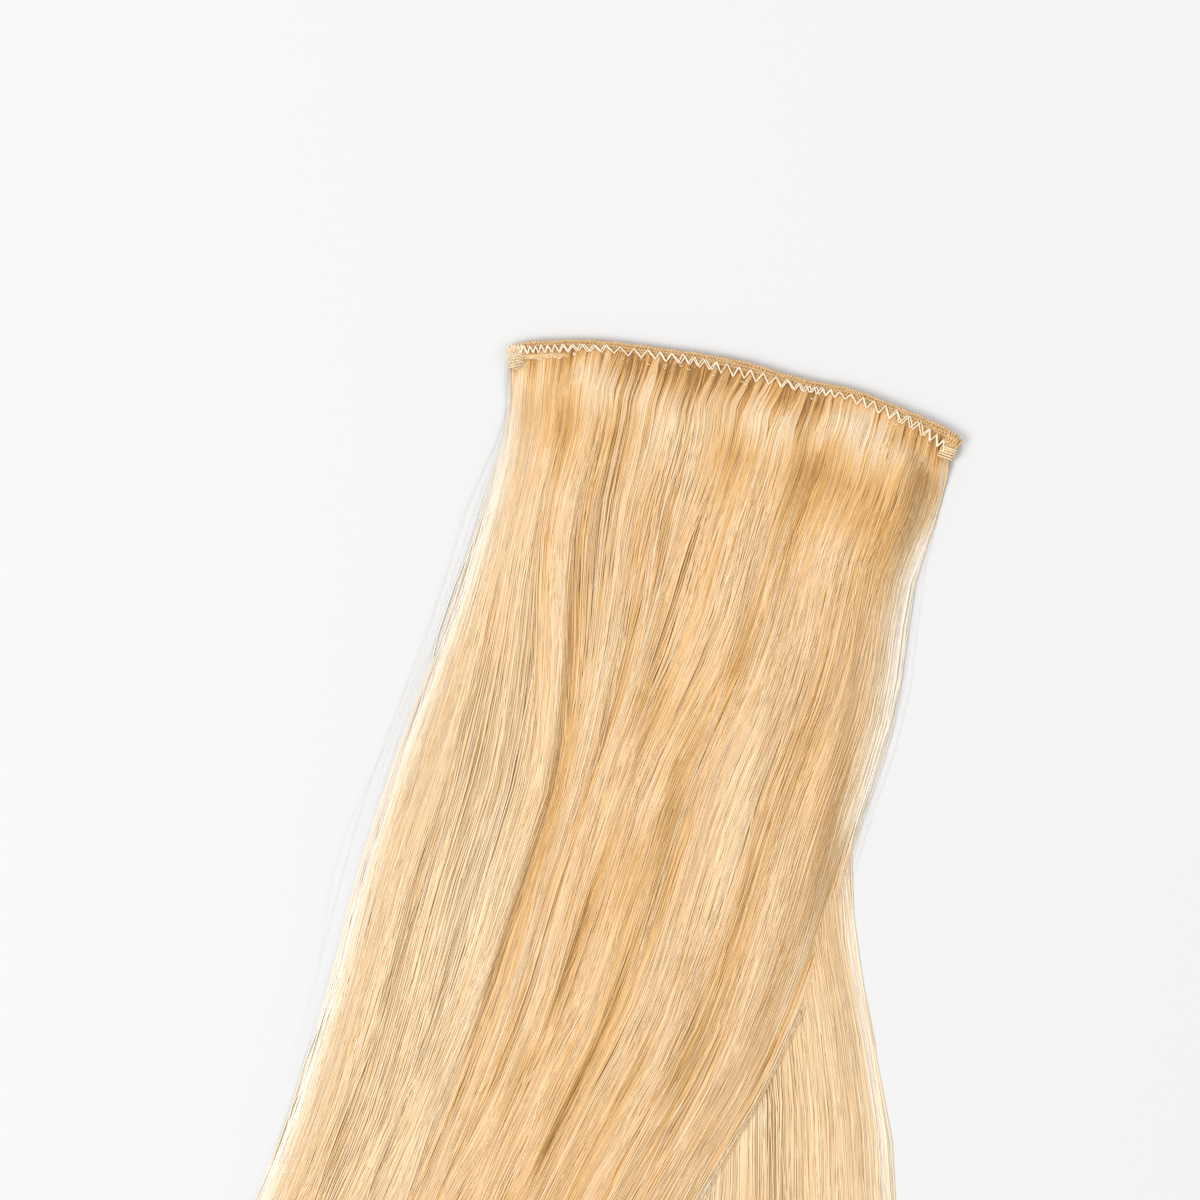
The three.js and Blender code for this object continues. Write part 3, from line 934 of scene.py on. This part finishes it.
def hair_layers(hair, packed):
    """Both layers: packed hair and the strands over it, in a few joined meshes."""
    rows = np.concatenate([np.linspace(0.5, 40, 24), np.linspace(45, BODY_LENGTH, 60)])
    base = curve(UPPER_SECTIONS, "base", rows[:, None])
    hair_body("upper_hair_body", UPPER_SECTIONS, upper_top, rows, base, packed, "upper_hair_layer")
    rows = np.linspace(LOWER_SECTIONS["run"][0], BODY_LENGTH, 40)
    hair_body("lower_hair_body", LOWER_SECTIONS, lower_top, rows, BODY_LIFT, packed, "lower_hair_layer")

    upper_near = np.array([-0.3, 1.2, 2.6, 5, 7.5, 10, 13, 16.5, 21, 27, 36, 48, *np.linspace(62, 285, 15)])
    lower_near = np.array([5, 24, 48, *np.linspace(80, 285, 8)])
    layers = [
        ("upper", UPPER_SECTIONS, UPPER_LOCKS, UPPER_STRANDS, upper_near, 4),
        ("lower", LOWER_SECTIONS, LOWER_LOCKS, LOWER_STRANDS, lower_near, 1),
    ]
    for layer, sections, locks, count, near, parts in layers:
        rings, tint = strand_rings(sections, locks, count, near, layer == "upper")
        for part in range(parts):
            mine = slice(count * part // parts, count * (part + 1) // parts)
            name = f"{layer}_strands_{part + 1}"
            strands = skin_mesh(name, rings[mine], hair, tint[mine], map_rows=5)
            wear(strands, "hair", f"{layer}_hair_layer")


def twisted_cords(name, cords, along_from, along_to, thread, node_name):
    """Two-ply cords along the band, none quite straight."""
    along = np.arange(along_from, along_to, CORD_PITCH / 7)
    paths = []
    for number, row in enumerate(cords["rows"]):
        stray = 0.1 * np.sin(along / 3.1 + 2.1 * number) + 0.08 * np.sin(along / 1.3 + 4.3 * number)
        for ply in (0, math.pi):
            turn = 2 * math.pi * along / CORD_PITCH + ply + number + 0.5 * np.sin(along / 4)
            out = row + stray + PLY_RADIUS * np.cos(turn)
            paths.append(on_band(along, out, cords["height"] + PLY_RADIUS * np.sin(turn)))
    rings = tube_rings(np.stack(paths), PLY_RADIUS, 5)
    wear(skin_mesh(name, rings, thread), "binding_cord", node_name)


def soft_box(turn, upright=0.5):
    """A round section made fuller, towards a box with soft corners: its places across and up."""
    across = np.sign(np.cos(turn)) * np.abs(np.cos(turn)) ** 0.5
    return across, np.sign(np.sin(turn)) * np.abs(np.sin(turn)) ** upright


def weft_track(name, track, thread, node_name):
    """The flat strip of folded hair roots and thread that carries the cords."""
    along = np.linspace(BAND_FROM + 0.2, BAND_TO - 0.2, 60)
    across, up = soft_box(np.arange(12) * 2 * math.pi / 12)
    out = (track["outer"] + track["inner"]) / 2 + (track["outer"] - track["inner"]) / 2 * across
    z = (track["bottom"] + track["top"]) / 2 + (track["top"] - track["bottom"]) / 2 * up
    rings = on_band(along[:, None], out, z)[None]
    wear(skin_mesh(name, rings, thread), "binding_cord", node_name)


def edge_stitches(thread):
    """Fine overcast stitches that lean over the band's outer edge."""
    start = np.arange(BAND_FROM + 0.5, BAND_TO - 1.0, 1.0)
    start = (start + rng.normal(0, 0.25, len(start)))[:, None]
    lean = rng.uniform(0.5, 1.3, start.shape)
    # The path of a stitch, from the top of the cords out over the edge and down
    along = start + lean * np.array([0, 0.2, 0.45, 0.7, 0.9, 1.0, 1.05, 1.05])
    out = np.array([0.3, 0.9, 1.6, 2.2, 2.55, 2.66, 2.62, 2.5]) + rng.normal(0, 0.06, start.shape)
    z = np.array([3.62, 3.74, 3.76, 3.68, 3.5, 3.2, 2.8, 2.3])
    rings = tube_rings(on_band(along, out, z), STITCH_RADIUS, 5)
    wear(skin_mesh("edge_stitches", rings, thread), "wrap_thread")


def zigzag_seam(thread):
    """Cream zigzag stitches over the upper band, sewn with a doubled thread."""
    corners = [BAND_FROM - 2.0]
    while corners[-1] < BAND_TO + 1.0:
        leg = 0.62 if len(corners) % 2 else 0.38  # every other leg leans more
        corners.append(corners[-1] + leg * curve(BAND, "pitch", corners[-1]) * rng.uniform(0.8, 1.2))
    corners = np.array(corners)
    number = np.arange(len(corners))
    side = np.where(number % 2 == 0, 1, -1)
    fine = np.linspace(0, len(corners) - 1, (len(corners) - 1) * 9 + 1)
    paths = []
    for thread_number in (0, 1):
        # The two threads lie together in some stretches and apart in others
        apart = np.clip(1.6 * np.sin((corners + 23) / 5.7), 0.1, 1.0)
        apart = apart * rng.uniform(0.6, 1.0, len(corners))
        along = corners + thread_number * apart + rng.normal(0, 0.06, len(corners))
        out = curve(BAND, "seam", corners) + curve(BAND, "swing", corners) * side
        out = out + rng.normal(0, 0.15, len(corners))
        on_leg = fine % 1.0
        bow = 0.26 * np.sin(math.pi * on_leg) - 0.2 * (on_leg < 0.01)
        z = SEAM_HEIGHT + bow + 0.16 * thread_number
        paths.append(on_band(np.interp(fine, number, along), np.interp(fine, number, out), z))
    rings = tube_rings(np.stack(paths), SEAM_RADIUS, 5)
    wear(skin_mesh("zigzag_seam", rings, thread), "wrap_thread")


def edge_loops(thread):
    """Small loops of thread along the lower band's edge, which peep out between the tufts of hair."""
    middle = np.arange(BAND_FROM + 1.5, BAND_TO - 1.0, TUFT_SPACING / 2)
    often = np.where(middle < FOLD_TO, 1.0, np.where(middle < 8, 0.3, 0.08))
    middle = middle[rng.uniform(size=len(middle)) < often]
    middle = (middle + rng.normal(0, 0.5, len(middle)))[:, None]
    folded = middle < FOLD_TO
    turn = np.linspace(-0.3, math.pi + 0.3, 11)
    size = rng.uniform(0.3, 0.55, middle.shape)
    along = middle + size * np.cos(turn)
    below_seam = curve(BAND, "seam", middle) - curve(BAND, "swing", middle) - 1.2
    out = below_seam - 0.9 * size * np.sin(turn) + rng.normal(0, 0.4, middle.shape)
    z = np.where(folded, 4.0, 3.3 + rng.uniform(0, 0.7, middle.shape)) + 0.9 * size * np.sin(turn)
    rings = tube_rings(on_band(along, out, z), LOOP_RADIUS, 5)
    wear(skin_mesh("edge_loops", rings, thread), "wrap_thread")


def folded_end(thread):
    """The left end folded back: a soft strip below the seam, over the roots of the hair."""
    along = np.linspace(BAND_FROM - 3.5, FOLD_TO, 40)
    turn = np.arange(14) * 2 * math.pi / 14
    fade = 1 - smooth(FOLD_TO - 9, FOLD_TO, along)
    ripple = 0.15 * np.sin(along / 0.9) + 0.2 * np.sin(along / 2.7)
    half = (0.2 + 0.7 * fade)[:, None]
    out = -2.4 + 0.3 * ripple[:, None] + half * np.cos(turn) + 0.6 * (1 - fade[:, None])
    middle = 2.5 + fade[:, None] + 0.4 * ripple[:, None] * fade[:, None]
    z = middle + (0.1 + 0.35 * fade[:, None]) * np.sin(turn)
    rings = on_band(along[:, None], out, z)[None]
    wear(skin_mesh("left_fold_strip", rings, thread), "wrap_thread")


def end_wrap(side_name, wrap, side, core, tan, beige):
    """A wrapped end: its packed core, cross-wound tan turns and pale rows over its lower part."""
    far = wrap["end"] - side * 0.4
    near = far - side * (wrap["length"] - 1.2)
    wide = (wrap["outer"] - wrap["inner"]) / 2 - WRAP_INSET
    tall = wrap["top"] / 2 - WRAP_INSET / 2
    middle_out = (wrap["outer"] + wrap["inner"]) / 2
    middle_z = wrap["top"] / 2

    along = np.linspace(near, far, 9)
    if side < 0:
        along = along[::-1]
    from_end = np.abs(along - far) / wrap["length"]
    shrink = (1 - 0.3 * np.clip(1 - from_end / 0.35, 0, 1) ** 2)[:, None]
    across, up = soft_box(np.arange(16) * 2 * math.pi / 16, 0.6)
    out = middle_out + wide * shrink * across
    rings = on_band(along[:, None], out, middle_z + tall * shrink * up)[None]
    wear(skin_mesh(f"{side_name}_end_core", rings, core), "wrap_thread", f"{side_name}_end_wrap")

    across, up = soft_box(np.linspace(0, 2 * math.pi, 33), 0.6)
    paths = []
    for lean in (-1.1, 1.1):
        places = np.arange(near, far + side * 0.3, side * 0.95)
        places = (places + rng.normal(0, 0.1, len(places)))[:, None]
        leaned = np.clip(places + lean * across, min(near, far) - 0.2, max(near, far) + 0.2)
        closing = 1 - 0.25 * np.clip(1 - np.abs(leaned - far) / (0.35 * wrap["length"]), 0, 1) ** 2
        out = middle_out + (wide + 0.12) * closing * across + rng.normal(0, 0.08, places.shape)
        z = middle_z + (tall + 0.1 + 0.06 * lean) * closing * up
        paths.append(on_band(leaned, out, np.maximum(z, TURN_LOW)))
    rings = tube_rings(np.concatenate(paths), TURN_RADIUS, 5)
    wear(skin_mesh(f"{side_name}_end_turns", rings, tan), "wrap_thread")

    rows = np.arange(wrap["inner"] + 0.5, wrap["inner"] + 4.2, ROW_SPACING)
    rows = (rows + rng.normal(0, 0.08, len(rows)))[:, None]
    along = (near + far) / 2 + (np.abs(far - near) / 2 + 0.15) * across
    z = np.maximum(middle_z + (tall + 0.3) * up, TURN_LOW)
    rings = tube_rings(on_band(along, rows + 0.35 * across, z), ROW_RADIUS, 5)
    wear(skin_mesh(f"{side_name}_end_rows", rings, beige), "wrap_thread")


def fold_loops(thread):
    """Fuzzy little loops of thread and hair at the folded left end."""
    each = (FOLD_LOOP_COUNT, 1)
    turn = np.linspace(0, 1.7 * math.pi, 12)
    size = rng.uniform(0.4, 1.0, each)
    start = rng.uniform(0, 2 * math.pi, each)
    tilt = rng.normal(0, 0.7, each)
    along = rng.uniform(LEFT_WRAP["end"] + 0.2, BAND_FROM + 0.1, each) + size * np.cos(turn + start)
    out = rng.uniform(-5.2, 0.5, each) + size * np.sin(turn + start) * np.cos(tilt)
    z = rng.uniform(2.6, 4.4, each) + size * np.sin(turn + start) * np.sin(tilt)
    rings = tube_rings(on_band(along, out, z), FOLD_LOOP_RADIUS, 4)
    wear(skin_mesh("left_fold_loops", rings, thread), "wrap_thread")


def stray_hairs(hair):
    """Single hairs that have come loose at both edges and over the top."""
    each = (STRAY_COUNT, 1)
    length = HAIR_LENGTH * rng.uniform(0.3, 0.95, each)
    run = 4 + (length - 4) * np.linspace(0, 1, 20)
    at_edge = rng.uniform(size=each) < 0.8
    on_right = rng.uniform(size=each) < 0.5
    share = np.where(at_edge, on_right, rng.uniform(0.1, 0.9, each))
    left = curve(UPPER_SECTIONS, "left", run)
    right = curve(UPPER_SECTIONS, "right", run)
    x = left + 1 + (right - left - 2) * share
    away = np.where(on_right, 1.0, -1.0) * np.minimum(rng.exponential(2.6, each), 9)
    stray = np.where(at_edge, away, rng.normal(0, 5, each))
    x = x + stray * smooth(5, 60, run) + wander(STRAY_COUNT, run, (90, 240), 0.6)
    y = arc_y(x[:, :1]) - run
    z = np.where(at_edge, rng.uniform(0.3, 1.4, each), upper_top(x, run) + 0.2)
    z = ROOT_HEIGHT + (z - ROOT_HEIGHT) * smooth(2, 18, run)
    tint = rng.uniform(0.9, 1.0, (*each, 1))
    radius = strand_radius(run / length, STRAY_RADIUS)
    rings = tube_rings(np.stack([x, y, z], axis=-1), radius, 4, FLATNESS)
    wear(skin_mesh("stray_hairs", rings, hair, tint, map_rows=2), "hair")


def main():
    """The picture, then the weft from its hair to its stitches."""
    photo_camera()
    soft_light()
    white_table()
    hair = hair_material()
    packed = packed_hair_material()
    tan = thread_material("polyester_binding_cord", "a97c45", "d6b07a", "eed4a6", 0.7)
    core = thread_material("matted_hair_roots", "8f6634", "b98d52", "d3aa6c", 0.8)
    beige = thread_material("beige_sewing_thread", "cdb085", "e6d0aa", "f5e6c9", 0.75)
    cream = thread_material("cream_sewing_thread", "e2cda8", "f7ead2", "fdf6e8", 0.7)

    hair_layers(hair, packed)
    stray_hairs(hair)
    weft_track("upper_weft_track", UPPER_TRACK, core, "upper_weft_band")
    weft_track("lower_weft_track", LOWER_TRACK, core, "lower_weft_band")
    twisted_cords("binding_cords", UPPER_CORDS, BAND_FROM - 1, BAND_TO + 1, tan, "upper_weft_band")
    twisted_cords("lower_edge_cord", LOWER_CORDS, BAND_FROM, BAND_TO, beige, "lower_weft_band")
    edge_stitches(tan)
    zigzag_seam(cream)
    folded_end(tan)
    edge_loops(cream)
    fold_loops(beige)
    end_wrap("left", LEFT_WRAP, -1, tan, beige, beige)
    end_wrap("right", RIGHT_WRAP, 1, core, tan, beige)


main()
